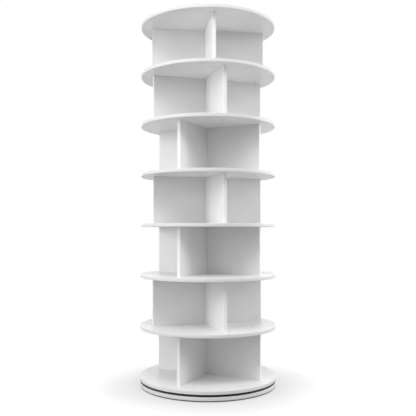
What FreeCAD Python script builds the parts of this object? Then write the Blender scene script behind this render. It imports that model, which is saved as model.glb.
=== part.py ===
import FreeCAD, Part
import math
import os

from FreeCAD import Placement, Rotation, Vector

# Rotating shoe tower: seven tiers of crossed upright panels between round shelves, screwed together
# into one tower that turns on a flat ball bearing over a fixed round base. Millimetres, +Z up, and
# the origin is on the floor at the centre of the base. The -Y side is the front.

# Boards
shelf_diameter = 500.0
board_thickness = 12.0
tier_count = 7
tier_clear_height = 173.0

# Upright panels: how far their outer ends stay back from the shelves' rim, and how each tier is turned
panel_setback = 40.0
first_tier_turn = -27.0
alternate_turn = 45.0
top_tier_turn = 7.5

# Plastic edge bands on the boards' rims and on the panels' outer ends
shelf_band = 2.0
shelf_band_round = 1.5
panel_band = 1.0
panel_band_round = 0.8

# Countersunk screws with a cross recess, and the play round anything that sits in a hole
screw_diameter = 4.0
screw_head_diameter = 8.0
screw_head_land = 0.4
screw_tip = 4.0
recess_span = 4.6
recess_slot = 1.1
recess_depth = 1.8
screw_bite = 23.0
screw_inset = 30.0
hole_play = 0.05
hole_spare = 1.0

# Dowels that join each divider's inner end to the long panel, and the board left behind their holes
dowel_diameter = 6.0
dowel_bite = 20.0
dowel_cover = 3.0
dowel_inset = 45.0
dowel_spare = 0.5

# Ball bearing: two concentric rings, the outer one on the tower and the inner one on the base
ball_diameter = 5.0
ball_circle_diameter = 275.0
ball_count = 36
ball_play = 0.2
race_lip = 1.5
ring_width = 12.0
ring_step = 0.8
cage_thickness = 1.0
cage_side_gap = 0.3
cage_end_gap = 0.6
ring_screw_count = 6
ring_screw_cover = 3.2
ring_bolt_bite = 4.0

# Rubber feet under the base
foot_diameter = 30.0
foot_height = 4.0
foot_count = 6
foot_inset = 35.0
foot_round = 1.0

# Levels and radii that follow from the sizes above
shelf_radius = shelf_diameter / 2
core_radius = shelf_radius - shelf_band
panel_reach = shelf_radius - panel_setback
panel_core_reach = panel_reach - panel_band
screw_radius = panel_reach - screw_inset
screw_length = board_thickness + screw_bite
divider_stagger = board_thickness / 2
tier_pitch = tier_clear_height + board_thickness
base_bottom = foot_height
base_top = base_bottom + board_thickness
bearing_height = ball_diameter + 2 * race_lip
turntable_bottom = base_top + bearing_height
turntable_top = turntable_bottom + board_thickness
ring_height = bearing_height - ring_step
ring_gap = cage_thickness + 2 * cage_side_gap
ball_circle_radius = ball_circle_diameter / 2
ball_level = base_top + bearing_height / 2
groove_radius = ball_diameter / 2 + ball_play
ring_screw_start = first_tier_turn + alternate_turn
foot_circle_radius = shelf_radius - foot_inset
UP = Vector(0, 0, 1)
AXIS_POINT = Vector(0, 0, 0)


def save(name, *solids):
    shape = solids[0] if len(solids) == 1 else Part.makeCompound(list(solids))
    shape.exportStep("parts/" + name + ".step")


def placed(shape, x=0.0, y=0.0, z=0.0, turn=0.0):
    moved = shape.copy()
    moved.Placement = Placement(Vector(x, y, z), Rotation(UP, turn)).multiply(moved.Placement)
    return moved


def turned(shape, turn):
    moved = shape.copy()
    moved.Placement = Placement(AXIS_POINT, Rotation(UP, turn)).multiply(moved.Placement)
    return moved


def flipped(shape):
    moved = shape.copy()
    moved.Placement = Placement(AXIS_POINT, Rotation(Vector(1, 0, 0), 180)).multiply(moved.Placement)
    return moved


def round_about(shape, radius, count, start):
    turns = [start + 360.0 * k / count for k in range(count)]
    return [turned(placed(shape, x=radius), turn) for turn in turns]


def spun(points):
    # a solid of revolution about Z from (radius, height) points, closed along its last side
    corners = [Vector(r, 0, z) for r, z in points]
    outline = Part.makePolygon(corners + [corners[0]])
    return Part.Face(outline).revolve(AXIS_POINT, UP, 360)


def disc(radius, bottom, height):
    return placed(Part.makeCylinder(radius, height), z=bottom)


def slab(x_low, x_high, y_low, y_high, height):
    return Part.makeBox(x_high - x_low, y_high - y_low, height, Vector(x_low, y_low, 0))


# ---- screws, bolts and dowels: a screw's head is at z = 0 and its point is below it ----

head_radius = screw_head_diameter / 2
shank_radius = screw_diameter / 2
head_cone_depth = head_radius - shank_radius


def screw(length, tip):
    head_depth = screw_head_land + head_cone_depth
    body = spun([
        (0, 0), (head_radius, 0), (head_radius, -screw_head_land), (shank_radius, -head_depth),
        (shank_radius, tip - length), (0, -length),
    ])
    half_span = recess_span / 2
    half_slot = recess_slot / 2
    arm = slab(-half_span, half_span, -half_slot, half_slot, 2 * recess_depth)
    arm = placed(arm, z=-recess_depth)
    return body.cut(arm).cut(turned(arm, 90))


def screw_hole(length):
    # the head's cone is the seat, and the rest is hole_play wider than the screw
    rim = head_radius + hole_play
    bore = shank_radius + hole_play
    cone_top = hole_play - screw_head_land
    return spun([
        (0, hole_spare), (rim, hole_spare), (rim, cone_top), (bore, cone_top - (rim - bore)),
        (bore, -length - hole_spare), (0, -length - hole_spare),
    ])


def tier_turn(tier):
    if tier == tier_count:
        return top_tier_turn
    return first_tier_turn + alternate_turn * ((tier - 1) % 2)


def tier_floor(tier):
    return turntable_top + tier_pitch * (tier - 1)


def over_panels(tier, shape, z):
    # one copy over each end of the long panel and over each divider, which stand half a board off centre
    r, off = screw_radius, divider_stagger
    points = [(r, 0), (-r, 0), (-off, -r), (off, r)]
    return [placed(placed(shape, x, y), z=z, turn=tier_turn(tier)) for x, y in points]


def down_into_tier(tier, shape):
    # at the top of the shelf above the tier
    return over_panels(tier, shape, tier_floor(tier) + tier_clear_height + board_thickness)


def up_into_tier(tier, shape):
    # at the underside of the shelf below the tier
    return over_panels(tier, flipped(shape), tier_floor(tier) - board_thickness)


def divider_rods(tier, radius, spare):
    # two rods from each divider's inner end into the long panel, clear of the other divider's rods
    bite = board_thickness - dowel_cover
    near = -board_thickness / 2 - dowel_bite - spare
    rods = []
    for level in (dowel_inset, tier_clear_height - dowel_inset):
        start = Vector(-divider_stagger, near, level)
        rod = Part.makeCylinder(radius, dowel_bite + bite + 2 * spare, start, Vector(0, 1, 0))
        for turn in (0, 180):
            rods.append(placed(rod, z=tier_floor(tier), turn=tier_turn(tier) + turn))
    return rods


def cut_all(shape, cutters):
    for cutter in cutters:
        shape = shape.cut(cutter)
    return shape


panel_screw = screw(screw_length, screw_tip)
panel_screw_hole = screw_hole(screw_length)


# ---- boards ----

def edge_band(radius, bottom):
    # a ring of banding whose two outer edges are rounded
    low, high = bottom, bottom + board_thickness
    bend = shelf_band_round
    inner, outer = radius - shelf_band, radius
    corner = bend * (1 - math.sqrt(0.5))
    edges = [
        Part.LineSegment(Vector(inner, 0, low), Vector(outer - bend, 0, low)),
        Part.Arc(Vector(outer - bend, 0, low), Vector(outer - corner, 0, low + corner),
                 Vector(outer, 0, low + bend)),
        Part.LineSegment(Vector(outer, 0, low + bend), Vector(outer, 0, high - bend)),
        Part.Arc(Vector(outer, 0, high - bend), Vector(outer - corner, 0, high - corner),
                 Vector(outer - bend, 0, high)),
        Part.LineSegment(Vector(outer - bend, 0, high), Vector(inner, 0, high)),
        Part.LineSegment(Vector(inner, 0, high), Vector(inner, 0, low)),
    ]
    outline = Part.Wire([edge.toShape() for edge in edges])
    return Part.Face(outline).revolve(AXIS_POINT, UP, 360)


def shelf_name(level):
    if level == 0:
        return "turntable_shelf"
    if level == tier_count:
        return "top_shelf"
    return "shelf_" + str(level)


def make_shelf(level):
    bottom = turntable_bottom + tier_pitch * level
    board = disc(core_radius, bottom, board_thickness)
    if level > 0:
        board = cut_all(board, down_into_tier(level, panel_screw_hole))
    if level < tier_count:
        board = cut_all(board, up_into_tier(level + 1, panel_screw_hole))
    if level == 0:
        board = cut_all(board, ring_screws(ring_screw_hole))
    save(shelf_name(level), board)
    save(shelf_name(level) + "_edge_band", edge_band(shelf_radius, bottom))


# ---- upright panels of one tier ----

def end_band(tier, turn, shift):
    # a strip on a panel's outer end, with its two outer edges rounded
    half = board_thickness / 2
    bend = panel_band_round
    corner = bend * (1 - math.sqrt(0.5))
    inner, outer = panel_core_reach, panel_reach
    edges = [
        Part.LineSegment(Vector(inner, -half, 0), Vector(outer - bend, -half, 0)),
        Part.Arc(Vector(outer - bend, -half, 0), Vector(outer - corner, corner - half, 0),
                 Vector(outer, bend - half, 0)),
        Part.LineSegment(Vector(outer, bend - half, 0), Vector(outer, half - bend, 0)),
        Part.Arc(Vector(outer, half - bend, 0), Vector(outer - corner, half - corner, 0),
                 Vector(outer - bend, half, 0)),
        Part.LineSegment(Vector(outer - bend, half, 0), Vector(inner, half, 0)),
        Part.LineSegment(Vector(inner, half, 0), Vector(inner, -half, 0)),
    ]
    outline = Part.Wire([edge.toShape() for edge in edges])
    strip = Part.Face(outline).extrude(Vector(0, 0, tier_clear_height))
    return placed(placed(strip, y=shift), z=tier_floor(tier), turn=tier_turn(tier) + turn)


def make_tier(tier):
    # the rear divider is the front one turned half round
    half, off = board_thickness / 2, divider_stagger
    holes = down_into_tier(tier, panel_screw_hole) + up_into_tier(tier, panel_screw_hole)
    holes += divider_rods(tier, dowel_diameter / 2 + hole_play, dowel_spare)
    long_panel = slab(-panel_core_reach, panel_core_reach, -half, half, tier_clear_height)
    divider = slab(-off - half, -off + half, -panel_core_reach, -half, tier_clear_height)
    panels = {"_long_panel": long_panel, "_front_divider": divider, "_rear_divider": turned(divider, 180)}
    name = "tier_" + str(tier)
    for panel_name, panel in panels.items():
        panel = placed(panel, z=tier_floor(tier), turn=tier_turn(tier))
        save(name + panel_name, cut_all(panel, holes))
    bands = [end_band(tier, turn, shift) for turn, shift in ((0, 0), (180, 0), (-90, -off), (90, -off))]
    save(name + "_edge_bands", *bands)


# ---- bearing ----

outer_ring_inner = ball_circle_radius + ring_gap / 2
outer_ring_outer = outer_ring_inner + ring_width
inner_ring_outer = ball_circle_radius - ring_gap / 2
inner_ring_inner = inner_ring_outer - ring_width
outer_screw_radius = (ball_circle_radius + groove_radius + outer_ring_outer) / 2
inner_bolt_radius = (ball_circle_radius - groove_radius + inner_ring_inner) / 2
outer_ring_bottom = turntable_bottom - ring_height

ring_screw_length = ring_height + board_thickness - ring_screw_cover
ring_screw = screw(ring_screw_length, screw_tip)
ring_screw_hole = screw_hole(ring_screw_length)
ring_bolt_length = board_thickness + ring_bolt_bite
ring_bolt = screw(ring_bolt_length, screw_head_land)
ring_bolt_hole = screw_hole(ring_bolt_length)


def ring_screws(shape):
    # wood screws up through the outer ring into the turntable shelf
    copies = round_about(flipped(shape), outer_screw_radius, ring_screw_count, ring_screw_start)
    return [placed(s, z=outer_ring_bottom) for s in copies]


def ring_bolts(shape):
    # machine screws up through the base plate into the inner ring
    copies = round_about(flipped(shape), inner_bolt_radius, ring_screw_count, ring_screw_start)
    return [placed(s, z=base_bottom) for s in copies]


def tube(inner, outer, bottom, height):
    return disc(outer, bottom, height).cut(disc(inner, bottom, height))


def make_bearing():
    groove = Part.makeTorus(ball_circle_radius, groove_radius, Vector(0, 0, ball_level), UP)
    outer_ring = tube(outer_ring_inner, outer_ring_outer, outer_ring_bottom, ring_height).cut(groove)
    inner_ring = tube(inner_ring_inner, inner_ring_outer, base_top, ring_height).cut(groove)
    save("bearing_outer_ring", cut_all(outer_ring, ring_screws(ring_screw_hole)))
    save("bearing_inner_ring", cut_all(inner_ring, ring_bolts(ring_bolt_hole)))
    save("bearing_outer_screws", *ring_screws(ring_screw))
    save("bearing_base_bolts", *ring_bolts(ring_bolt))

    ball = placed(Part.makeSphere(ball_diameter / 2), z=ball_level)
    save("bearing_balls", *round_about(ball, ball_circle_radius, ball_count, 0))

    cage = tube(ball_circle_radius - cage_thickness / 2, ball_circle_radius + cage_thickness / 2,
                base_top + cage_end_gap, bearing_height - 2 * cage_end_gap)
    pocket = Part.makeCylinder(groove_radius, 2 * ring_gap, Vector(-ring_gap, 0, ball_level),
                               Vector(1, 0, 0))
    save("bearing_ball_cage", cut_all(cage, round_about(pocket, ball_circle_radius, ball_count, 0)))


# ---- base ----

def make_base():
    plate = disc(core_radius, base_bottom, board_thickness)
    save("base_plate", cut_all(plate, ring_bolts(ring_bolt_hole)))
    save("base_plate_edge_band", edge_band(shelf_radius, base_bottom))
    foot = Part.makeCylinder(foot_diameter / 2, foot_height)
    sole = [edge for edge in foot.Edges if edge.BoundBox.ZMax < foot_height / 2]
    foot = foot.makeFillet(foot_round, sole)
    save("base_feet", *round_about(foot, foot_circle_radius, foot_count, 0))


def make_fasteners():
    tiers = range(1, tier_count + 1)
    save("shelf_screws_from_above", *[s for tier in tiers for s in down_into_tier(tier, panel_screw)])
    save("shelf_screws_from_below", *[s for tier in tiers for s in up_into_tier(tier, panel_screw)])
    dowels = [s for tier in tiers for s in divider_rods(tier, dowel_diameter / 2, 0)]
    save("divider_dowels", *dowels)


os.makedirs("parts", exist_ok=True)
make_base()
make_bearing()
for level in range(tier_count + 1):
    make_shelf(level)
for tier in range(1, tier_count + 1):
    make_tier(tier)
make_fasteners()
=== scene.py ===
import math

import bmesh
import bpy
from mathutils import Matrix, Vector


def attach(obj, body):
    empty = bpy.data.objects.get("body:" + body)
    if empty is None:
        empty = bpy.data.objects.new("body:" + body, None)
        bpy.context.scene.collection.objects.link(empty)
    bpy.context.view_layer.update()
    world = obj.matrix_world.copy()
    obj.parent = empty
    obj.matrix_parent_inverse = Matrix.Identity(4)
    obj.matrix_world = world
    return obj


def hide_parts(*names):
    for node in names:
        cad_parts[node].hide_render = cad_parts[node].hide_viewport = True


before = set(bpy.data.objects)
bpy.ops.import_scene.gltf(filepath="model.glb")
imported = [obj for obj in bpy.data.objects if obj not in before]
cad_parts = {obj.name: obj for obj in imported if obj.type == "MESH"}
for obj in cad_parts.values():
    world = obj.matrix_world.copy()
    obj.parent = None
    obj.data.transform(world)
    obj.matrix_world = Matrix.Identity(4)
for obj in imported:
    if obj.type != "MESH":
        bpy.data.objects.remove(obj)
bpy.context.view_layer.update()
print("frame loaded")

# A rotating shoe tower in white: round boards and crossed panels, turning on a ball bearing over a
# fixed base. Metres, +Z up, its front looks along -Y.

mm = 0.001

tower = {
    "tierCount": 7,
    "shelfRadius": 250 * mm,
    "shelfSides": 288,
    "boardThickness": 12 * mm,
    "tierHeight": 173 * mm,
    "panelReach": 210 * mm,
    "dividerStagger": 6 * mm,  # each divider stands half a board to one side of the middle
    "firstTurn": -27.0,  # degrees, as the next two
    "alternateTurn": 45.0,
    "topTurn": 7.5,
    "panelEnds": 4,  # outer ends of a tier's crossed panels, each with a screw above and below
    "screwRadius": 180 * mm,
    "turntableBottom": 24 * mm,
    "baseBottom": 4 * mm,
}


def shelfBottom(level):
    return tower["turntableBottom"] + level * (tower["tierHeight"] + tower["boardThickness"])


def tierFloor(tier):
    return shelfBottom(tier - 1) + tower["boardThickness"]


def tierTurn(tier):
    if tier == tower["tierCount"]:
        return math.radians(tower["topTurn"])
    return math.radians(tower["firstTurn"] + tower["alternateTurn"] * ((tier - 1) % 2))


def shelfName(level):
    return {0: "turntable_shelf", tower["tierCount"]: "top_shelf"}.get(level, "shelf_%d" % level)


def feed(tree, node, *values, named=None):
    # fills a node's inputs, in order or by name: with a value, a socket, a node's first output, or a list
    free = [socket for socket in node.inputs if socket.enabled]
    byName = {socket.name: socket for socket in reversed(free)}
    pairs = list(zip(free, values)) + [(byName[key], value) for key, value in (named or {}).items()]
    for socket, value in pairs:
        for one in value if isinstance(value, list) else [value]:
            if isinstance(one, bpy.types.Node):
                one = next(output for output in one.outputs if output.enabled)
            if isinstance(one, bpy.types.NodeSocket):
                tree.links.new(one, socket)
            elif one is not None:
                socket.default_value = one


def addNode(tree, kind, *values, named=None, **settings):
    node = tree.nodes.new(kind)
    for key, value in settings.items():
        setattr(node, key, value)
    feed(tree, node, *values, named=named)
    return node


# the camera stands low and looks a little up

camera = {
    "lens": 52.6,
    "sensor": 36.0,
    "distance": 2.2725,
    "height": 0.566,
    "tiltUp": 2.12,
    "nearest": 0.05,
    "farthest": 50.0,
}


def makeCamera():
    data = bpy.data.cameras.new("studioCamera")
    data.lens = camera["lens"]
    data.sensor_width = camera["sensor"]
    data.clip_start = camera["nearest"]
    data.clip_end = camera["farthest"]
    holder = bpy.data.objects.new("studioCamera", data)
    holder.location = (0.0, -camera["distance"], camera["height"])
    holder.rotation_euler = (math.radians(90 + camera["tiltUp"]), 0.0, 0.0)
    bpy.context.scene.collection.objects.link(holder)
    bpy.context.scene.camera = holder


# finishes

noise = {"detail": 3.0, "low": 0.3, "high": 0.7}  # nearly all of the pattern lies between low and high
# painted shade: the grey on the board faces in the bearing gap, and how far past those faces it reaches
paintedGapShade = {"shadeGrey": "9A9A98", "over": 0.2 * mm}


def linearColour(hexCode):
    channels = [int(hexCode[i:i + 2], 16) / 255 for i in (0, 2, 4)]
    return (*[c / 12.92 if c <= 0.04045 else ((c + 0.055) / 1.055) ** 2.4 for c in channels], 1.0)


def newFinish(name, colour, roughness, metallic=0.0):
    material = bpy.data.materials.new(name)
    material.use_nodes = True
    shader = material.node_tree.nodes["Principled BSDF"]
    values = {"Base Color": linearColour(colour), "Roughness": roughness, "Metallic": metallic}
    feed(material.node_tree, shader, named=values)
    return material, material.node_tree, shader


def addGrain(tree, shader, grainMm, stretch=(1, 1, 1), where=None, tones=None, roughness=None, bumpMm=None):
    # one pattern, grainMm across, that moves the colour, the gloss or the height of the surface
    if where is None:
        where = addNode(tree, "ShaderNodeTexCoord").outputs["Object"]
    place = addNode(tree, "ShaderNodeMapping", named={"Vector": where, "Scale": stretch})
    grain = addNode(tree, "ShaderNodeTexNoise", place, 1 / (grainMm * mm), noise["detail"])
    if tones:
        colours = [linearColour(tone) for tone in tones]
        share = addNode(tree, "ShaderNodeMapRange", grain, noise["low"], noise["high"])
        mixed = addNode(tree, "ShaderNodeMix", share, *colours, data_type="RGBA")
        feed(tree, shader, named={"Base Color": mixed})
    if roughness:
        gloss = addNode(tree, "ShaderNodeMapRange", grain, noise["low"], noise["high"], *roughness)
        feed(tree, shader, named={"Roughness": gloss})
    if bumpMm:
        height = {"Height": grain, "Distance": bumpMm * mm}
        feed(tree, shader, named={"Normal": addNode(tree, "ShaderNodeBump", named=height)})


def whiteMelamine(name):
    # Melamine foil pressed on fibreboard with a fine pearl: an even satin white that hardly mirrors.
    material, tree, shader = newFinish(name, "EFEFEF", roughness=0.45)
    addGrain(tree, shader, grainMm=90, tones=("EDEDED", "F1F1F1"))
    # the real pearl is about 0.6 mm across, drawn coarser so that it shows
    addGrain(tree, shader, grainMm=2.4, roughness=(0.40, 0.50), bumpMm=0.05)
    return material


def melamineWithPaintedGapShade(name):
    # The same board with painted shade: a flat grey on its faces in the bearing gap, which darkens the gap
    # to near black.
    material = whiteMelamine(name)
    tree = material.node_tree
    shader = tree.nodes["Principled BSDF"]
    foil = shader.inputs["Base Color"].links[0].from_socket
    at = addNode(tree, "ShaderNodeSeparateXYZ", addNode(tree, "ShaderNodeTexCoord").outputs["Object"])
    middle = (tower["baseBottom"] + tower["boardThickness"] + shelfBottom(0)) / 2
    reach = shelfBottom(0) - middle + paintedGapShade["over"]
    # painted shade on the faces that meet the gap between base plate and turntable
    gapMask = addNode(tree, "ShaderNodeMath", at.outputs["Z"], middle, reach, operation="COMPARE")
    mixed = addNode(tree, "ShaderNodeMix", gapMask, foil, linearColour(paintedGapShade["shadeGrey"]), data_type="RGBA")
    feed(tree, shader, named={"Base Color": mixed})
    return material


# stretch draws the faint lines along the band: round a board, or up a panel end
rimEdging = {"colour": "EDEDEF", "stretch": (0.04, 0.04, 1), "shine": 0.1}
stripEdging = {"colour": "F9F9FA", "stretch": (1, 1, 0.04), "shine": 0.5}


def whiteEdging(name, colour, stretch, shine):
    # Extruded ABS banding, ironed on: smoother than the board, with faint lines along it.
    material, tree, shader = newFinish(name, colour, roughness=0.36)
    addGrain(tree, shader, grainMm=1.6, stretch=stretch, roughness=(0.31, 0.41), bumpMm=0.03)
    feed(tree, shader, named={"Specular IOR Level": shine})
    return material


def zincPlatedSteel():
    # Bright zinc over a pressed screw head: grey and slightly cloudy.
    material, tree, shader = newFinish("zincPlatedSteel", "A9ABAE", roughness=0.35, metallic=1.0)
    addGrain(tree, shader, grainMm=1.2, tones=("9C9EA1", "B6B8BA"), roughness=(0.26, 0.46))
    return material


def rawBeech():
    # Turned and fluted beech, left raw: pale brown with short darker flecks along the grain.
    material, tree, shader = newFinish("rawBeech", "C9A27A", roughness=0.7)
    tones = ("B78C63", "D3AE87")
    addGrain(tree, shader, grainMm=0.9, stretch=(1, 1, 0.35), tones=tones, bumpMm=0.05)
    return material


def anodisedAluminium():
    # Turned rings, clear anodised: dull silver with fine tool marks that run round the axis.
    material, tree, shader = newFinish("anodisedAluminium", "A3A5A8", roughness=0.42, metallic=1.0)
    at = addNode(tree, "ShaderNodeSeparateXYZ", addNode(tree, "ShaderNodeTexCoord").outputs["Object"])
    flat = addNode(tree, "ShaderNodeCombineXYZ", at.outputs["X"], at.outputs["Y"])
    radius = addNode(tree, "ShaderNodeVectorMath", flat, operation="LENGTH").outputs["Value"]
    across = addNode(tree, "ShaderNodeCombineXYZ", radius, 0.0, at.outputs["Z"]).outputs["Vector"]
    addGrain(tree, shader, grainMm=0.8, where=across, roughness=(0.34, 0.50), bumpMm=0.02)
    return material


def bearingSteel():
    # Ground and polished chrome steel balls: a mirror under a thin film of grease.
    material, tree, shader = newFinish("polishedBearingSteel", "B4B5B7", roughness=0.1, metallic=1.0)
    addGrain(tree, shader, grainMm=1.5, roughness=(0.06, 0.20))
    return material


def blackNylon():
    # Moulded nylon: matt black with the faint grain of its mould.
    material, tree, shader = newFinish("mouldedBlackNylon", "1F1F20", roughness=0.5)
    addGrain(tree, shader, grainMm=0.7, roughness=(0.42, 0.58), bumpMm=0.04)
    return material


def blackRubber():
    # Moulded rubber: deep matt black, a little dusty.
    material, tree, shader = newFinish("mouldedBlackRubber", "1A1A1A", roughness=0.85)
    addGrain(tree, shader, grainMm=2.5, tones=("151515", "242424"), bumpMm=0.08)
    return material


# shared parts of the geometry trees

def newTree(name, sizes, counts=(), objects=()):
    # a named input for each size, count and object, and one for the material that the tree sets last
    tree = bpy.data.node_groups.new(name, "GeometryNodeTree")
    kinds = {"NodeSocketFloat": sizes, "NodeSocketInt": counts, "NodeSocketObject": objects}
    kinds["NodeSocketMaterial"] = ("material",)
    for kind, names in kinds.items():
        for inputName in names:
            tree.interface.new_socket(inputName, in_out="INPUT", socket_type=kind)
    tree.interface.new_socket("Geometry", in_out="OUTPUT", socket_type="NodeSocketGeometry")
    return tree, tree.nodes.new("NodeGroupInput").outputs


def endTree(tree, given, geometry):
    real = addNode(tree, "GeometryNodeRealizeInstances", geometry)
    painted = {"Geometry": real, "Material": given["material"]}
    addNode(tree, "NodeGroupOutput", addNode(tree, "GeometryNodeSetMaterial", named=painted))
    return tree


def scaledFromAxis(tree, geometry, radius, height=None):
    # moves each point to this many times its distance from the Z axis, and to this height
    where = addNode(tree, "GeometryNodeInputPosition")
    times = addNode(tree, "ShaderNodeCombineXYZ", radius, radius, 1.0 if height is None else 0.0)
    place = addNode(tree, "ShaderNodeVectorMath", where, times, operation="MULTIPLY")
    lift = addNode(tree, "ShaderNodeCombineXYZ", 0.0, 0.0, 0.0 if height is None else height)
    return addNode(tree, "GeometryNodeSetPosition", geometry, None, place, lift)


def turnedShape(tree, outline, segments):
    # a solid turned about Z through (radius, height) pairs from the top down, closed by flat ends
    rings = len(outline) - 1
    blank = {"Vertices": segments, "Side Segments": rings, "Radius": 1.0, "Depth": float(rings)}
    blank = addNode(tree, "GeometryNodeMeshCylinder", named=blank, fill_type="NGON")
    at = addNode(tree, "ShaderNodeSeparateXYZ", addNode(tree, "GeometryNodeInputPosition"))
    fromTop = addNode(tree, "ShaderNodeMath", rings / 2, at.outputs["Z"], operation="SUBTRACT")
    ring = addNode(tree, "ShaderNodeMath", fromTop, operation="ROUND")
    picked = []
    for column in (0, 1):
        switch = addNode(tree, "GeometryNodeIndexSwitch", data_type="FLOAT")
        while len(switch.index_switch_items) < len(outline):
            switch.index_switch_items.new()
        feed(tree, switch, ring, *[point[column] for point in outline])
        picked.append(switch)
    return scaledFromAxis(tree, blank, *picked)


def ringPoints(tree, count, radius, stagger=0.0):
    # points round the axis from +X; those off the X axis step to one side, as the dividers do
    circle = addNode(tree, "GeometryNodeMeshCircle", count, radius)
    at = addNode(tree, "ShaderNodeSeparateXYZ", addNode(tree, "GeometryNodeInputPosition"))
    share = addNode(tree, "ShaderNodeMath", at.outputs["Y"], radius, operation="DIVIDE")
    side = addNode(tree, "ShaderNodeMath", share, stagger, operation="MULTIPLY")
    shift = {"Geometry": circle, "Offset": addNode(tree, "ShaderNodeCombineXYZ", side)}
    return addNode(tree, "GeometryNodeSetPosition", named=shift)


def tierStack(tree, given, geometry):
    # one copy on each tier, turned as the tier is; the last of them has its own turn
    step = addNode(tree, "ShaderNodeCombineXYZ", 0.0, 0.0, given["pitch"])
    start = addNode(tree, "ShaderNodeCombineXYZ", 0.0, 0.0, given["firstLevel"])
    line = addNode(tree, "GeometryNodeMeshLine", given["tierCount"], start, step)
    index = addNode(tree, "GeometryNodeInputIndex")
    odd = addNode(tree, "ShaderNodeMath", index, 2.0, operation="MODULO")
    turns = (odd, given["alternateTurn"], given["firstTurn"])
    turn = addNode(tree, "ShaderNodeMath", *turns, operation="MULTIPLY_ADD")
    last = addNode(tree, "ShaderNodeMath", given["tierCount"], 1.0, operation="SUBTRACT")
    isTop = addNode(tree, "FunctionNodeCompare", index, last, data_type="INT", operation="EQUAL")
    turn = addNode(tree, "GeometryNodeSwitch", isTop, turn, given["topTurn"], input_type="FLOAT")
    spin = addNode(tree, "ShaderNodeCombineXYZ", 0.0, 0.0, turn)
    copies = {"Points": line, "Instance": geometry, "Rotation": spin}
    return addNode(tree, "GeometryNodeInstanceOnPoints", named=copies)


def stripSection(tree, given):
    # across a strip of banding: outer corners rounded, glued corners nearly sharp
    section = addNode(tree, "GeometryNodeCurvePrimitiveQuadrilateral", given["width"], given["height"])
    at = addNode(tree, "ShaderNodeSeparateXYZ", addNode(tree, "GeometryNodeInputPosition"))
    outside = addNode(tree, "FunctionNodeCompare", at, 0.0, operation="GREATER_THAN")
    bends = (given["innerRound"], given["outerRound"])
    bend = addNode(tree, "GeometryNodeSwitch", outside, *bends, input_type="FLOAT")
    return addNode(tree, "GeometryNodeFilletCurve", section, edging["roundSteps"], bend, mode="POLY")


creaseAngle = 32  # degrees: an edge that bends more stays sharp


def smooth(mesh):
    mesh.shade_smooth()
    mesh.set_sharp_from_angle(angle=math.radians(creaseAngle))


def addPiece(name, mesh, material=None):
    if material:
        mesh.materials.append(material)
    smooth(mesh)
    piece = bpy.data.objects.new(name, mesh)
    bpy.context.scene.collection.objects.link(piece)
    return piece


def grow(name, tree, values):
    # runs the tree with these values and keeps what it makes as a plain mesh
    piece = addPiece(name, bpy.data.meshes.new(name))
    modifier = piece.modifiers.new("shape", "NODES")
    modifier.node_group = tree
    for socket in tree.interface.items_tree:
        if socket.in_out == "INPUT":
            modifier[socket.identifier] = values[socket.name]
    evaluated = piece.evaluated_get(bpy.context.evaluated_depsgraph_get())
    mesh = bpy.data.meshes.new_from_object(evaluated)
    piece.modifiers.remove(modifier)
    piece.data = mesh
    smooth(mesh)
    return piece


def settle(piece, body, node):
    # the finished piece moves with its body and stands for its construction node
    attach(piece, body)
    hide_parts(node)


# round boards and their edging

edging = {"width": 2.0 * mm, "outerRound": 1.5 * mm, "innerRound": 0.12 * mm, "roundSteps": 5}
countersink = {"headRadius": 4.05 * mm, "shankRadius": 2.05 * mm, "land": 0.35 * mm}
drill = {"above": 1.0 * mm, "depth": 1.1, "sides": 40}  # its depth is in board thicknesses


def rimBandTree():
    # banding round a disc
    tree, given = newTree("rimBand", ("radius", "width", "height", "outerRound", "innerRound", "level"))
    middle = addNode(tree, "ShaderNodeMath", given["width"], -0.5, given["radius"], operation="MULTIPLY_ADD")
    path = addNode(tree, "GeometryNodeCurvePrimitiveCircle", tower["shelfSides"], middle)
    band = addNode(tree, "GeometryNodeCurveToMesh", path, stripSection(tree, given))
    level = addNode(tree, "ShaderNodeMath", given["height"], 0.5, given["level"], operation="MULTIPLY_ADD")
    lift = addNode(tree, "ShaderNodeCombineXYZ", 0.0, 0.0, level)
    return endTree(tree, given, addNode(tree, "GeometryNodeTransform", band, lift))


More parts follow.
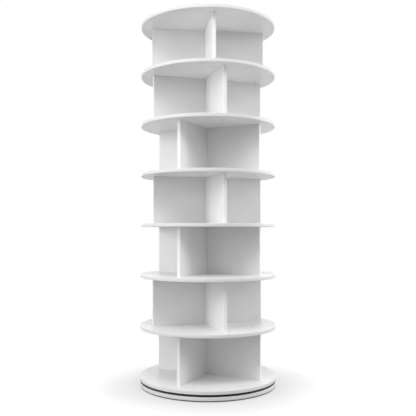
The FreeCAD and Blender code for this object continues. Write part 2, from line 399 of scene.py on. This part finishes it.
def roundBoardTree():
    # a disc with countersunk holes down through its top and up through its underside
    sizes = ("radius", "thickness", "level", "screwRadius", "stagger", "turnTop", "turnUnder")
    sizes += ("headRadius", "shankRadius", "land")
    tree, given = newTree("roundBoard", sizes, counts=("holesTop", "holesUnder"))
    disc = {"Vertices": tower["shelfSides"], "Radius": given["radius"], "Depth": given["thickness"]}
    disc = addNode(tree, "GeometryNodeMeshCylinder", named=disc, fill_type="NGON")
    head, shank = given["headRadius"], given["shankRadius"]
    coneTop = addNode(tree, "ShaderNodeMath", given["land"], -1.0, operation="MULTIPLY")
    coneDepth = addNode(tree, "ShaderNodeMath", head, shank, operation="SUBTRACT")
    coneEnd = addNode(tree, "ShaderNodeMath", coneTop, coneDepth, operation="SUBTRACT")
    through = addNode(tree, "ShaderNodeMath", given["thickness"], -drill["depth"], operation="MULTIPLY")
    outline = [(head, drill["above"]), (head, coneTop), (shank, coneEnd), (shank, through)]
    cutter = turnedShape(tree, outline, drill["sides"])
    halfUp = addNode(tree, "ShaderNodeMath", given["thickness"], 0.5, operation="MULTIPLY")
    halfDown = addNode(tree, "ShaderNodeMath", given["thickness"], -0.5, operation="MULTIPLY")
    cutters = []
    faces = (("holesTop", "turnTop", 0.0, halfUp), ("holesUnder", "turnUnder", math.pi, halfDown))
    for holes, turn, tip, face in faces:
        points = ringPoints(tree, given[holes], given["screwRadius"], given["stagger"])
        copies = {"Points": points, "Instance": cutter, "Rotation": (tip, 0, 0)}
        copies = addNode(tree, "GeometryNodeInstanceOnPoints", named=copies)
        lift = addNode(tree, "ShaderNodeCombineXYZ", 0.0, 0.0, face)
        spin = addNode(tree, "ShaderNodeCombineXYZ", 0.0, 0.0, given[turn])
        copies = addNode(tree, "GeometryNodeTransform", copies, lift, spin)
        cutters.append(addNode(tree, "GeometryNodeRealizeInstances", copies))
    cut = {"operation": "DIFFERENCE", "solver": "EXACT"}
    drilled = addNode(tree, "GeometryNodeMeshBoolean", disc, cutters, **cut)
    level = addNode(tree, "ShaderNodeMath", given["level"], halfUp, operation="ADD")
    lift = addNode(tree, "ShaderNodeCombineXYZ", 0.0, 0.0, level)
    return endTree(tree, given, addNode(tree, "GeometryNodeTransform", drilled, lift))


def makeBoard(name, body, bottom, trees, finishes, finish, **holes):
    values = dict(countersink, radius=tower["shelfRadius"] - edging["width"], level=bottom)
    values.update(thickness=tower["boardThickness"], material=finishes[finish], **holes)
    settle(grow(name + "_board", trees["board"], values), body, name)
    values = dict(edging, radius=tower["shelfRadius"], height=tower["boardThickness"], level=bottom)
    values.update(material=finishes["rim"])
    settle(grow(name + "_rim", trees["rim"], values), body, name + "_edge_band")


def makeShelves(trees, finishes):
    tiers = tower["tierCount"]
    ends = tower["panelEnds"]
    for level in range(tiers + 1):
        holes = {"screwRadius": tower["screwRadius"], "stagger": tower["dividerStagger"]}
        holes.update(holesTop=ends if level > 0 else 0, turnTop=tierTurn(max(level, 1)))
        holes.update(holesUnder=ends if level < tiers else 0, turnUnder=tierTurn(min(level + 1, tiers)))
        # the turntable board carries painted shade on its underside, in the bearing gap
        finish = "board" if level > 0 else "gapShadedBoard"
        makeBoard(shelfName(level), "tower", shelfBottom(level), trees, finishes, finish, **holes)
    print("shelves and their rims done")


# crossed panels and their edging

panelEdge = {"width": 1.0 * mm, "outerRound": 0.8 * mm, "innerRound": 0.1 * mm}
arris = {"width": 0.25 * mm, "steps": 2, "profile": 0.5}


def endBandsTree():
    # four upright strips on the outer ends of one tier's panels
    sizes = ("reach", "stagger", "width", "height", "outerRound", "innerRound", "length", "level", "turn")
    tree, given = newTree("endBands", sizes)
    top = addNode(tree, "ShaderNodeCombineXYZ", 0.0, 0.0, given["length"])
    path = addNode(tree, "GeometryNodeCurvePrimitiveLine", (0, 0, 0), top)
    strip = {"Curve": path, "Profile Curve": stripSection(tree, given), "Fill Caps": True}
    strip = addNode(tree, "GeometryNodeCurveToMesh", named=strip)
    middle = addNode(tree, "ShaderNodeMath", given["width"], -0.5, given["reach"], operation="MULTIPLY_ADD")
    index = addNode(tree, "GeometryNodeInputIndex")
    quarter = 2 * math.pi / tower["panelEnds"]
    facing = addNode(tree, "ShaderNodeMath", index, quarter, operation="MULTIPLY")
    facing = addNode(tree, "ShaderNodeCombineXYZ", 0.0, 0.0, facing)
    ends = ringPoints(tree, tower["panelEnds"], middle, given["stagger"])
    strips = {"Points": ends, "Instance": strip, "Rotation": facing}
    strips = addNode(tree, "GeometryNodeInstanceOnPoints", named=strips)
    lift = addNode(tree, "ShaderNodeCombineXYZ", 0.0, 0.0, given["level"])
    spin = addNode(tree, "ShaderNodeCombineXYZ", 0.0, 0.0, given["turn"])
    return endTree(tree, given, addNode(tree, "GeometryNodeTransform", strips, lift, spin))


def makePanel(name, low, high, tier, finishes):
    # a board between two corners in its tier's own directions, with its sharp edges just eased
    low, high = Vector(low), Vector(high)
    size, middle = high - low, (high + low) / 2
    block = bmesh.new()
    bmesh.ops.create_cube(block, size=1.0, matrix=Matrix.Translation(middle) @ Matrix.Diagonal((*size, 1)))
    eased = {"offset": arris["width"], "segments": arris["steps"], "profile": arris["profile"]}
    bmesh.ops.bevel(block, geom=block.edges, affect="EDGES", **eased)
    turned = Matrix.Rotation(tierTurn(tier), 3, "Z")
    bmesh.ops.rotate(block, verts=block.verts, cent=(0, 0, 0), matrix=turned)
    mesh = bpy.data.meshes.new(name)
    block.to_mesh(mesh)
    block.free()
    settle(addPiece(name + "_board", mesh, finishes["board"]), "tower", name)


def makeTiers(trees, finishes):
    half = tower["boardThickness"] / 2
    side = tower["dividerStagger"]
    end = tower["panelReach"] - panelEdge["width"]
    strip = dict(panelEdge, reach=tower["panelReach"], stagger=side, height=tower["boardThickness"])
    strip.update(length=tower["tierHeight"], material=finishes["strip"])
    for tier in range(1, tower["tierCount"] + 1):
        name = "tier_%d_" % tier
        low = tierFloor(tier)
        high = low + tower["tierHeight"]
        panels = {
            "long_panel": ((-end, -half, low), (end, half, high)),
            "front_divider": ((-side - half, -end, low), (half - side, -half, high)),
            "rear_divider": ((side - half, half, low), (side + half, end, high)),
        }
        for panel, (lowest, highest) in panels.items():
            makePanel(name + panel, lowest, highest, tier, finishes)
        strips = grow(name + "end_bands", trees["strips"], dict(strip, level=low, turn=tierTurn(tier)))
        settle(strips, "tower", name + "edge_bands")
    print("tiers done")


# screws and dowels

panelScrew = {
    "headRadius": 4.0 * mm,
    "land": 0.4 * mm,
    "shankRadius": 2.0 * mm,
    "coreRadius": 1.35 * mm,
    "threadPitch": 1.6 * mm,
    "tipLength": 4.0 * mm,
    "length": 35.0 * mm,
    "tipShare": 0.04,  # the point isn't quite sharp
    "rings": 88,
    "sides": 24,
    "recessSpan": 4.6 * mm,
    "recessSlot": 1.1 * mm,
    "recessDepth": 1.8 * mm,
}
ringScrew = dict(panelScrew, length=16.0 * mm, rings=40)
baseBolt = dict(ringScrew, rings=80, coreRadius=1.65 * mm, threadPitch=0.7 * mm, tipLength=0.4 * mm)
chance = {"seedAbove": 4, "seedBelow": 3}  # how the screws happen to be turned
dowel = {
    "radius": 3.0 * mm,
    "length": 29.0 * mm,
    "chamfer": 0.7 * mm,
    "flutes": 16,
    "fluteDepth": 0.25 * mm,
    "sides": 48,
    "intoDivider": 20.0 * mm,
    "perDivider": 2,
    "lowest": 45.0 * mm,
    "apart": 83.0 * mm,
}


def screwTree():
    # a countersunk screw with its head at z = 0: helical thread, pointed tip, cross recess
    sizes = ("headRadius", "land", "shankRadius", "coreRadius", "threadPitch", "tipLength", "tipShare")
    sizes += ("length", "recessSpan", "recessSlot", "recessDepth")
    tree, given = newTree("countersunkScrew", sizes, counts=("rings", "sides"))
    blank = {"Vertices": given["sides"], "Side Segments": given["rings"]}
    blank.update(Radius=1.0, Depth=given["length"])
    blank = addNode(tree, "GeometryNodeMeshCylinder", named=blank, fill_type="NGON")
    down = addNode(tree, "ShaderNodeMath", given["length"], -0.5, operation="MULTIPLY")
    down = addNode(tree, "ShaderNodeCombineXYZ", 0.0, 0.0, down)
    blank = addNode(tree, "GeometryNodeTransform", blank, down)
    at = addNode(tree, "ShaderNodeSeparateXYZ", addNode(tree, "GeometryNodeInputPosition"))
    depth = addNode(tree, "ShaderNodeMath", at.outputs["Z"], -1.0, operation="MULTIPLY")
    coneFoot = addNode(tree, "ShaderNodeMath", given["headRadius"], given["land"], operation="ADD")
    cone = addNode(tree, "ShaderNodeMath", coneFoot, depth, operation="SUBTRACT")
    head = addNode(tree, "ShaderNodeMath", cone, given["headRadius"], operation="MINIMUM")
    # the thread rises and falls once in each pitch, and its place turns with the angle
    angle = addNode(tree, "ShaderNodeMath", at.outputs["Y"], at.outputs["X"], operation="ARCTAN2")
    turns = addNode(tree, "ShaderNodeMath", depth, given["threadPitch"], operation="DIVIDE")
    phase = addNode(tree, "ShaderNodeMath", angle, -0.5 / math.pi, turns, operation="MULTIPLY_ADD")
    crest = addNode(tree, "ShaderNodeMath", phase, 0.5, operation="PINGPONG")
    high = addNode(tree, "ShaderNodeMath", given["shankRadius"], given["coreRadius"], operation="SUBTRACT")
    high = addNode(tree, "ShaderNodeMath", high, 2.0, operation="MULTIPLY")
    shank = addNode(tree, "ShaderNodeMath", crest, high, given["coreRadius"], operation="MULTIPLY_ADD")
    toTip = addNode(tree, "ShaderNodeMath", given["length"], depth, operation="SUBTRACT")
    toTip = addNode(tree, "ShaderNodeMath", toTip, given["tipLength"], operation="DIVIDE")
    toTip = addNode(tree, "ShaderNodeMath", toTip, given["tipShare"], operation="ADD")
    tip = addNode(tree, "ShaderNodeMath", toTip, given["shankRadius"], operation="MULTIPLY")
    radius = addNode(tree, "ShaderNodeMath", head, shank, operation="MAXIMUM")
    radius = addNode(tree, "ShaderNodeMath", radius, tip, operation="MINIMUM")
    body = scaledFromAxis(tree, blank, radius)
    deep = addNode(tree, "ShaderNodeMath", given["recessDepth"], 2.0, operation="MULTIPLY")
    size = addNode(tree, "ShaderNodeCombineXYZ", given["recessSpan"], given["recessSlot"], deep)
    slot = addNode(tree, "GeometryNodeMeshCube", size)
    cross = [slot, addNode(tree, "GeometryNodeTransform", slot, None, (0, 0, math.pi / 2))]
    cut = {"operation": "DIFFERENCE", "solver": "EXACT"}
    return endTree(tree, given, addNode(tree, "GeometryNodeMeshBoolean", body, cross, **cut))


def dowelTree():
    # a fluted dowel with chamfered ends, along Y from inside the divider into the long panel
    sizes = ("radius", "length", "chamfer", "fluteDepth", "face", "stagger", "intoDivider")
    tree, given = newTree("flutedDowel", sizes, counts=("flutes",))
    half = addNode(tree, "ShaderNodeMath", given["length"], 0.5, operation="MULTIPLY")
    full = addNode(tree, "ShaderNodeMath", half, given["chamfer"], operation="SUBTRACT")
    low = addNode(tree, "ShaderNodeMath", half, -1.0, operation="MULTIPLY")
    lowFull = addNode(tree, "ShaderNodeMath", full, -1.0, operation="MULTIPLY")
    end = addNode(tree, "ShaderNodeMath", given["radius"], given["chamfer"], operation="SUBTRACT")
    outline = [(end, half), (given["radius"], full), (given["radius"], lowFull), (end, low)]
    rod = turnedShape(tree, outline, dowel["sides"])
    at = addNode(tree, "ShaderNodeSeparateXYZ", addNode(tree, "GeometryNodeInputPosition"))
    angle = addNode(tree, "ShaderNodeMath", at.outputs["Y"], at.outputs["X"], operation="ARCTAN2")
    wave = addNode(tree, "ShaderNodeMath", angle, given["flutes"], operation="MULTIPLY")
    wave = addNode(tree, "ShaderNodeMath", wave, operation="COSINE")
    wave = addNode(tree, "ShaderNodeMath", wave, 0.0, operation="MAXIMUM")
    flute = addNode(tree, "ShaderNodeMath", given["fluteDepth"], given["radius"], operation="DIVIDE")
    flute = addNode(tree, "ShaderNodeMath", flute, -1.0, operation="MULTIPLY")
    share = addNode(tree, "ShaderNodeMath", wave, flute, 1.0, operation="MULTIPLY_ADD")
    rod = scaledFromAxis(tree, rod, share)
    start = addNode(tree, "ShaderNodeMath", given["face"], given["intoDivider"], operation="ADD")
    y = addNode(tree, "ShaderNodeMath", half, start, operation="SUBTRACT")
    x = addNode(tree, "ShaderNodeMath", given["stagger"], -1.0, operation="MULTIPLY")
    place = addNode(tree, "ShaderNodeCombineXYZ", x, y)
    return endTree(tree, given, addNode(tree, "GeometryNodeTransform", rod, place, (math.pi / 2, 0, 0)))


def stackSizes():
    # where a stack of tiers starts, steps and turns
    return {
        "firstLevel": tierFloor(1),
        "pitch": tower["tierHeight"] + tower["boardThickness"],
        "firstTurn": tierTurn(1),
        "alternateTurn": math.radians(tower["alternateTurn"]),
        "topTurn": tierTurn(tower["tierCount"]),
        "tierCount": tower["tierCount"],
    }


def screwsTree():
    # a screw over each panel end of every tier, each driven to its own chance angle
    sizes = ("radius", "stagger", "firstLevel", "pitch", "firstTurn", "alternateTurn", "topTurn", "tip")
    tree, given = newTree("screwsOverTiers", sizes, counts=("tierCount", "seed"), objects=("piece",))
    ends = ringPoints(tree, tower["panelEnds"], given["radius"], given["stagger"])
    marks = tierStack(tree, given, ends)
    marks = addNode(tree, "GeometryNodeRealizeInstances", marks)
    screw = addNode(tree, "GeometryNodeObjectInfo", given["piece"]).outputs["Geometry"]
    driven = addNode(tree, "FunctionNodeRandomValue", 0.0, 2 * math.pi, None, given["seed"])
    turn = addNode(tree, "ShaderNodeCombineXYZ", given["tip"], 0.0, driven)
    screws = {"Points": marks, "Instance": screw, "Rotation": turn}
    return endTree(tree, given, addNode(tree, "GeometryNodeInstanceOnPoints", named=screws))


def dowelsTree():
    # dowels above each other in both dividers of every tier
    sizes = ("lowest", "apart", "firstLevel", "pitch", "firstTurn", "alternateTurn", "topTurn")
    tree, given = newTree("dowelsOverTiers", sizes, counts=("tierCount", "perDivider"), objects=("piece",))
    one = addNode(tree, "GeometryNodeObjectInfo", given["piece"]).outputs["Geometry"]
    start = addNode(tree, "ShaderNodeCombineXYZ", 0.0, 0.0, given["lowest"])
    step = addNode(tree, "ShaderNodeCombineXYZ", 0.0, 0.0, given["apart"])
    line = addNode(tree, "GeometryNodeMeshLine", given["perDivider"], start, step)
    front = {"Points": line, "Instance": one}
    front = addNode(tree, "GeometryNodeInstanceOnPoints", named=front)
    rear = addNode(tree, "GeometryNodeTransform", front, None, (0, 0, math.pi))
    both = addNode(tree, "GeometryNodeJoinGeometry", [front, rear])
    return endTree(tree, given, tierStack(tree, given, both))


def makeFasteners(trees, finishes):
    mould = grow("panelScrewMould", trees["screw"], dict(panelScrew, material=finishes["zinc"]))
    values = dict(stackSizes(), radius=tower["screwRadius"], stagger=tower["dividerStagger"])
    values.update(piece=mould, material=finishes["zinc"])
    above = dict(values, firstLevel=tierFloor(2), tip=0.0, seed=chance["seedAbove"])
    below = dict(values, firstLevel=shelfBottom(0), tip=math.pi, seed=chance["seedBelow"])
    for name, sizes in (("shelf_screws_from_above", above), ("shelf_screws_from_below", below)):
        settle(grow(name + "_set", trees["screws"], sizes), "tower", name)
    bpy.data.objects.remove(mould)
    sizes = dict(dowel, face=tower["boardThickness"] / 2, stagger=tower["dividerStagger"])
    mould = grow("dowelMould", trees["dowel"], dict(sizes, material=finishes["beech"]))
    values = dict(dowel, **stackSizes(), piece=mould, material=finishes["beech"])
    settle(grow("divider_dowels_set", trees["dowels"], values), "tower", "divider_dowels")
    bpy.data.objects.remove(mould)
    print("screws and dowels done")


# bearing, base and feet

bearing = {
    "ballRadius": 2.5 * mm,
    "ballSides": 28,
    "ballRings": 14,
    "ballCircle": 137.5 * mm,
    "ballCount": 36,
    "ballLevel": 20.0 * mm,
    "screwCircle": 145.25 * mm,
    "boltCircle": 129.75 * mm,
    "screwCount": 6,
    "screwTurn": 18.0,
    "outerRingBottom": 16.8 * mm,
}
foot = {
    "radius": 15.0 * mm,
    "height": 4.0 * mm,
    "soleRound": 1.0 * mm,
    "roundSteps": 6,
    "sides": 64,
    "circle": 215.0 * mm,
    "count": 6,
    "grooves": (11.5 * mm, 8.0 * mm, 4.5 * mm),
    "grooveWidth": 1.2 * mm,
    "grooveDepth": 0.6 * mm,
}


def roundAxisTree():
    # copies on a circle about the tower's axis
    sizes = ("radius", "level", "firstTurn", "tip")
    tree, given = newTree("roundAxis", sizes, counts=("copies",), objects=("piece",))
    piece = addNode(tree, "GeometryNodeObjectInfo", given["piece"]).outputs["Geometry"]
    step = addNode(tree, "ShaderNodeMath", 2 * math.pi, given["copies"], operation="DIVIDE")
    index = addNode(tree, "GeometryNodeInputIndex")
    angle = addNode(tree, "ShaderNodeMath", index, step, operation="MULTIPLY")
    turn = addNode(tree, "ShaderNodeCombineXYZ", given["tip"], 0.0, angle)
    points = ringPoints(tree, given["copies"], given["radius"])
    copies = {"Points": points, "Instance": piece, "Rotation": turn}
    copies = addNode(tree, "GeometryNodeInstanceOnPoints", named=copies)
    lift = addNode(tree, "ShaderNodeCombineXYZ", 0.0, 0.0, given["level"])
    spin = addNode(tree, "ShaderNodeCombineXYZ", 0.0, 0.0, given["firstTurn"])
    return endTree(tree, given, addNode(tree, "GeometryNodeTransform", copies, lift, spin))


def turnedMesh(name, outline, segments, material):
    # spins (radius, height) points about Z; those with no radius close the shape on the axis
    shape = bmesh.new()
    angles = [2 * math.pi * k / segments for k in range(segments)]
    rings = []
    for radius, height in outline:
        if radius == 0:
            rings.append([shape.verts.new((0, 0, height))] * segments)
        else:
            spots = [(radius * math.cos(a), radius * math.sin(a), height) for a in angles]
            rings.append([shape.verts.new(spot) for spot in spots])
    for upper, lower in zip(rings, rings[1:]):
        for k in range(segments):
            corners = [upper[k], upper[k - 1], lower[k - 1], lower[k]]
            shape.faces.new(list(dict.fromkeys(corners)))
    bmesh.ops.recalc_face_normals(shape, faces=shape.faces)
    mesh = bpy.data.meshes.new(name)
    shape.to_mesh(mesh)
    shape.free()
    return addPiece(name, mesh, material)


def footOutline():
    # from the middle of the top, round the sole's edge, and in over the grooves
    radius, bend, half = foot["radius"], foot["soleRound"], foot["grooveWidth"] / 2
    outline = [(0, foot["height"]), (radius, foot["height"])]
    for k in range(foot["roundSteps"] + 1):
        angle = math.pi / 2 * k / foot["roundSteps"]
        outline.append((radius - bend + bend * math.cos(angle), bend - bend * math.sin(angle)))
    for groove in foot["grooves"]:
        outline += [(groove + half, 0), (groove + half / 2, foot["grooveDepth"])]
        outline += [(groove - half / 2, foot["grooveDepth"]), (groove - half, 0)]
    return outline + [(0, 0)]


def ballOutline():
    radius, rings = bearing["ballRadius"], bearing["ballRings"]
    angles = [math.pi * k / rings for k in range(1, rings)]
    arc = [(radius * math.sin(angle), radius * math.cos(angle)) for angle in angles]
    return [(0, radius)] + arc + [(0, -radius)]


def makeRound(name, body, slot, mould, trees, material, **places):
    # copies of a mould round the axis
    values = dict(places, piece=mould, material=material)
    settle(grow(name + "_set", trees["around"], values), body, name)
    bpy.data.objects.remove(mould)


def makeBase(trees, finishes):
    holes = {"screwRadius": bearing["boltCircle"], "stagger": 0.0, "holesTop": 0, "turnTop": 0.0}
    holes.update(holesUnder=bearing["screwCount"], turnUnder=math.radians(bearing["screwTurn"]))
    # the base plate carries painted shade on its top, in the bearing gap
    makeBoard("base_plate", "base", tower["baseBottom"], trees, finishes, "gapShadedBoard", **holes)
    pad = turnedMesh("footMould", footOutline(), foot["sides"], finishes["rubber"])
    places = {"radius": foot["circle"], "level": 0.0, "copies": foot["count"], "firstTurn": 0.0, "tip": 0.0}
    makeRound("base_feet", "base", "foot_rubber", pad, trees, finishes["rubber"], **places)
    print("base and feet done")


def makeBearing(trees, finishes):
    zinc, steel = finishes["zinc"], finishes["ballSteel"]
    turn = math.radians(bearing["screwTurn"])
    upward = {"copies": bearing["screwCount"], "firstTurn": turn, "tip": math.pi}
    screw = grow("ringScrewMould", trees["screw"], dict(ringScrew, material=zinc))
    places = dict(upward, radius=bearing["screwCircle"], level=bearing["outerRingBottom"])
    makeRound("bearing_outer_screws", "tower", "screw_steel", screw, trees, zinc, **places)
    bolt = grow("baseBoltMould", trees["screw"], dict(baseBolt, material=zinc))
    places = dict(upward, radius=bearing["boltCircle"], level=tower["baseBottom"])
    makeRound("bearing_base_bolts", "base", "screw_steel", bolt, trees, zinc, **places)
    ball = turnedMesh("ballMould", ballOutline(), bearing["ballSides"], steel)
    places = {"radius": bearing["ballCircle"], "level": bearing["ballLevel"], "copies": bearing["ballCount"]}
    places.update(firstTurn=0.0, tip=0.0)
    makeRound("bearing_balls", "ball_cage", "ball_steel", ball, trees, steel, **places)
    rings = {"inner_ring": "aluminium", "outer_ring": "aluminium", "ball_cage": "nylon"}
    for name, finish in rings.items():
        # a construction node that already has its final shape only gets its finish
        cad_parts["bearing_" + name].material_slots[0].material = finishes[finish]
    print("bearing done")


# light and floor

# each lamp stands at an angle round the tower from its front, plus to the right, and looks at its axis
lamps = {
    "frontHigh": {"angle": 0, "distance": 1.9, "height": 2.9, "size": 1.4, "watts": 34},
    "leftFront": {"angle": -45, "distance": 2.6, "height": 2.1, "size": 1.3, "watts": 16},
    "rightFront": {"angle": 45, "distance": 2.6, "height": 2.1, "size": 1.3, "watts": 16},
    "left": {"angle": -75, "distance": 2.6, "height": 1.0, "size": 1.3, "watts": 25},
    "right": {"angle": 105, "distance": 2.6, "height": 1.0, "size": 1.3, "watts": 34},
    "leftBack": {"angle": -150, "distance": 2.6, "height": 1.0, "size": 1.3, "watts": 5},
    "rightBack": {"angle": 150, "distance": 2.6, "height": 1.0, "size": 1.3, "watts": 5},
    "back": {"angle": 180, "distance": 2.6, "height": 1.0, "size": 1.3, "watts": 5},
}
room = {
    "lampAim": 0.65,  # the height on the axis that the lamps look at
    "sheenBelow": 2.0,  # a lamp as high as this gives no sheen, which would wash out a top seen from behind
    "worldLight": 0.25,
    "floorSize": 12.0,
    "floorBounce": "ACACAC",
    "floorOwn": 1.04,  # even white of the floor where it is seen, beside a small share of the light on it
    "floorLit": 0.1,
    "shadeReach": 350 * mm,
    "shadeDepth": 0.47,
    "shadeCurve": 0.5,
    "contactOpen": 0.45,  # below this openness the floor goes black, as right under the base
    "whiteFrom": 0.4,  # from this far to whiteTo the floor fades to plain white
    "whiteTo": 1.1,
}


def makeLamps():
    target = Vector((0.0, 0.0, room["lampAim"]))
    for name, values in lamps.items():
        data = bpy.data.lights.new(name, "AREA")
        data.shape = "SQUARE"
        data.size = values["size"]
        data.energy = values["watts"]
        lamp = bpy.data.objects.new(name, data)
        angle = math.radians(values["angle"])
        reach = values["distance"]
        lamp.location = (reach * math.sin(angle), -reach * math.cos(angle), values["height"])
        lamp.rotation_euler = (target - lamp.location).to_track_quat("-Z", "Y").to_euler()
        lamp.visible_camera = False
        lamp.visible_glossy = values["height"] < room["sheenBelow"]
        bpy.context.scene.collection.objects.link(lamp)


def seenDirectly(tree):
    # 1 for rays from the camera, and for mirror and glass rays, which show the same backdrop
    rays = addNode(tree, "ShaderNodeLightPath").outputs
    seen = rays["Is Camera Ray"]
    for other in ("Is Glossy Ray", "Is Transmission Ray"):
        seen = addNode(tree, "ShaderNodeMath", seen, rays[other], operation="MAXIMUM")
    return seen


def makeRoom():
    world = bpy.data.worlds.new("whiteRoom")
    world.use_nodes = True
    tree = world.node_tree
    strength = addNode(tree, "ShaderNodeMapRange", seenDirectly(tree), 0.0, 1.0, room["worldLight"], 1.0)
    feed(tree, tree.nodes["Background"], (1, 1, 1, 1), strength)
    bpy.context.scene.world = world

    material = bpy.data.materials.new("paperFloor")
    material.use_nodes = True
    tree = material.node_tree
    tree.nodes.remove(tree.nodes["Principled BSDF"])
    # a soft shade that fades away from the object, and a black line where it nearly touches the floor
    sight = addNode(tree, "ShaderNodeAmbientOcclusion", named={"Distance": room["shadeReach"]}).outputs["AO"]
    closed = addNode(tree, "ShaderNodeMath", 1.0, sight, operation="SUBTRACT")
    closed = addNode(tree, "ShaderNodeMath", closed, room["shadeCurve"], operation="POWER")
    shade = addNode(tree, "ShaderNodeMath", closed, -room["shadeDepth"], 1.0, operation="MULTIPLY_ADD")
    contact = addNode(tree, "ShaderNodeMapRange", sight, 0.0, room["contactOpen"], 0.0, 1.0)
    shade = addNode(tree, "ShaderNodeMath", shade, contact, operation="MULTIPLY")
    lit = addNode(tree, "ShaderNodeMath", shade, room["floorLit"], operation="MULTIPLY")
    own = addNode(tree, "ShaderNodeMath", shade, room["floorOwn"], operation="MULTIPLY")
    lit = addNode(tree, "ShaderNodeBsdfDiffuse", lit)
    own = addNode(tree, "ShaderNodeEmission", (1, 1, 1, 1), own)
    near = addNode(tree, "ShaderNodeAddShader", lit, own)
    white = addNode(tree, "ShaderNodeEmission", (1, 1, 1, 1), 1.0)
    where = addNode(tree, "ShaderNodeTexCoord").outputs["Object"]
    away = addNode(tree, "ShaderNodeVectorMath", where, operation="LENGTH").outputs["Value"]
    limits = (room["whiteFrom"], room["whiteTo"], 0.0, 1.0)
    away = addNode(tree, "ShaderNodeMapRange", away, *limits, interpolation_type="SMOOTHSTEP")
    seen = addNode(tree, "ShaderNodeMixShader", away, near, white)
    bounce = addNode(tree, "ShaderNodeBsdfDiffuse", linearColour(room["floorBounce"]))
    mixed = addNode(tree, "ShaderNodeMixShader", seenDirectly(tree), bounce, seen)
    feed(tree, tree.nodes["Material Output"], mixed)
    half = room["floorSize"] / 2
    corners = [(-half, -half, 0), (half, -half, 0), (half, half, 0), (-half, half, 0)]
    mesh = bpy.data.meshes.new("paperFloor")
    mesh.from_pydata(corners, [], [(0, 1, 2, 3)])
    mesh.materials.append(material)
    floor = bpy.data.objects.new("paperFloor", mesh)
    bpy.context.scene.collection.objects.link(floor)


makeCamera()
finishes = {
    "board": whiteMelamine("satinWhiteMelamine"),
    # white melamine with painted shade on the faces in the bearing gap
    "gapShadedBoard": melamineWithPaintedGapShade("melamineWithPaintedGapShade"),
    "rim": whiteEdging("satinWhiteAbsRim", **rimEdging),
    "strip": whiteEdging("satinWhiteAbsStrip", **stripEdging),
    "zinc": zincPlatedSteel(),
    "beech": rawBeech(),
    "aluminium": anodisedAluminium(),
    "ballSteel": bearingSteel(),
    "nylon": blackNylon(),
    "rubber": blackRubber(),
}
trees = {
    "board": roundBoardTree(),
    "rim": rimBandTree(),
    "strips": endBandsTree(),
    "screw": screwTree(),
    "screws": screwsTree(),
    "dowel": dowelTree(),
    "dowels": dowelsTree(),
    "around": roundAxisTree(),
}
print("finishes and trees made")

makeShelves(trees, finishes)
makeTiers(trees, finishes)
makeFasteners(trees, finishes)
makeBase(trees, finishes)
makeBearing(trees, finishes)

makeLamps()
makeRoom()
bpy.context.scene.view_settings.view_transform = "Standard"
print("camera, lamps and room done")
